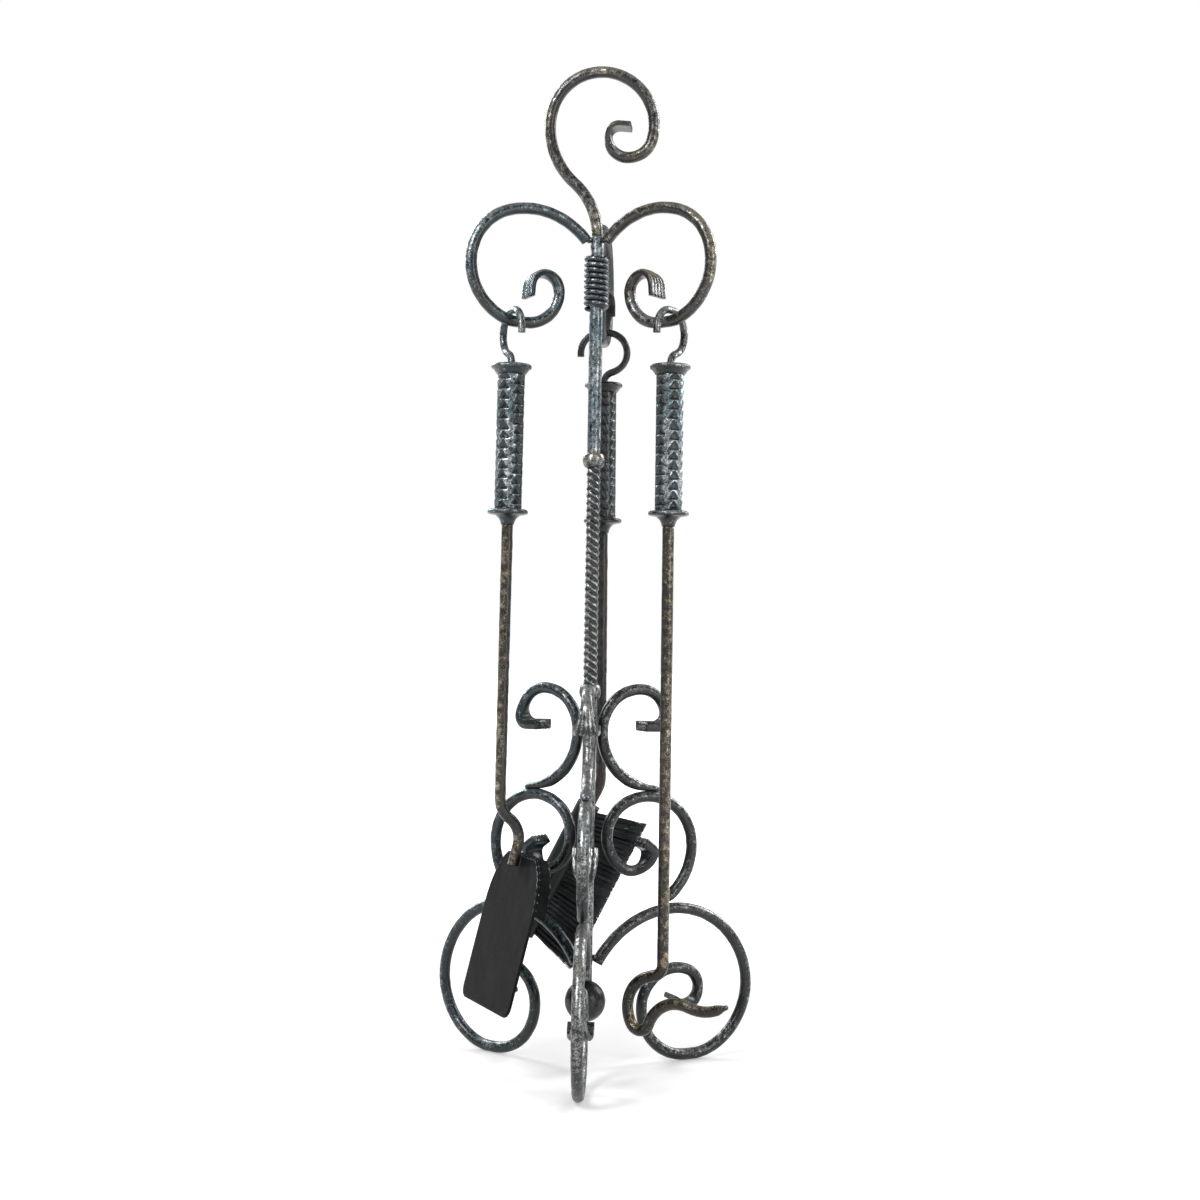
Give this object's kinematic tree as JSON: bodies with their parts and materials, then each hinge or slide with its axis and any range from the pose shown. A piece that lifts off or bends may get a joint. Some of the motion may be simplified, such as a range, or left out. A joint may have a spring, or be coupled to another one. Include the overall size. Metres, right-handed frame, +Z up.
{
  "type": "fireplace tool set",
  "caption": "Scrollwork companion stand in blackened forged iron with a poker, a shovel and a hearth brush hanging from its arms.",
  "frame": {"origin": "on the axis of the stand's post, at the floor", "axes": "+Z up along the post, -Y towards the front leg, +X to the right seen from the front"},
  "size_m": [0.2624, 0.2626, 0.8033],
  "materials": {
    "forged_iron": "blackened, hammered, rubbed bright on the high spots",
    "hammered_grip": "hammered, blue-black",
    "bronzed_iron": "brown-gold over black",
    "black_sheet": "matt black",
    "brush_block": "matt black paint",
    "bristles": "coarse black bristle"
  },
  "bodies": {
    "stand": {"post_upper": "forged_iron", "post_twist": "forged_iron", "post_lower": "forged_iron", "collar_upper": "forged_iron", "collar_lower": "forged_iron", "wire_wrap": "forged_iron", "crook": "forged_iron", "ball_finial": "forged_iron", "arm_left": "forged_iron", "arm_right": "forged_iron", "arm_rear": "forged_iron", "leg_front_upper": "forged_iron", "leg_front_middle": "forged_iron", "leg_front_foot": "forged_iron", "leg_right_upper": "forged_iron", "leg_right_middle": "forged_iron", "leg_right_foot": "forged_iron", "leg_left_upper": "forged_iron", "leg_left_middle": "forged_iron", "leg_left_foot": "forged_iron"},
    "poker": {"poker_hook": "forged_iron", "poker_flange": "forged_iron", "poker_grip": "hammered_grip", "poker_ferrule": "forged_iron", "poker_rod": "bronzed_iron"},
    "shovel": {"shovel_hook": "forged_iron", "shovel_flange": "forged_iron", "shovel_grip": "hammered_grip", "shovel_ferrule": "forged_iron", "shovel_rod": "bronzed_iron", "shovel_pan": "black_sheet"},
    "brush": {"brush_hook": "forged_iron", "brush_flange": "forged_iron", "brush_grip": "hammered_grip", "brush_ferrule": "forged_iron", "brush_rod": "bronzed_iron", "brush_block": "brush_block", "brush_bristles": "bristles"}
  },
  "joints": [
    {"name": "poker_swing", "type": "hinge", "parent": "stand", "child": "poker", "pos_m": [0.05513, -0.03183, 0.60022], "axis": [-0.5, -0.866, 0], "range_deg": [-1, 30]},
    {"name": "shovel_swing", "type": "hinge", "parent": "stand", "child": "shovel", "pos_m": [-0.05513, -0.03183, 0.60022], "axis": [-0.5, 0.866, 0], "range_deg": [-1, 30]},
    {"name": "brush_swing", "type": "hinge", "parent": "stand", "child": "brush", "pos_m": [0, 0.06366, 0.60022], "axis": [1, 0, 0], "range_deg": [-1, 30]}
  ]
}
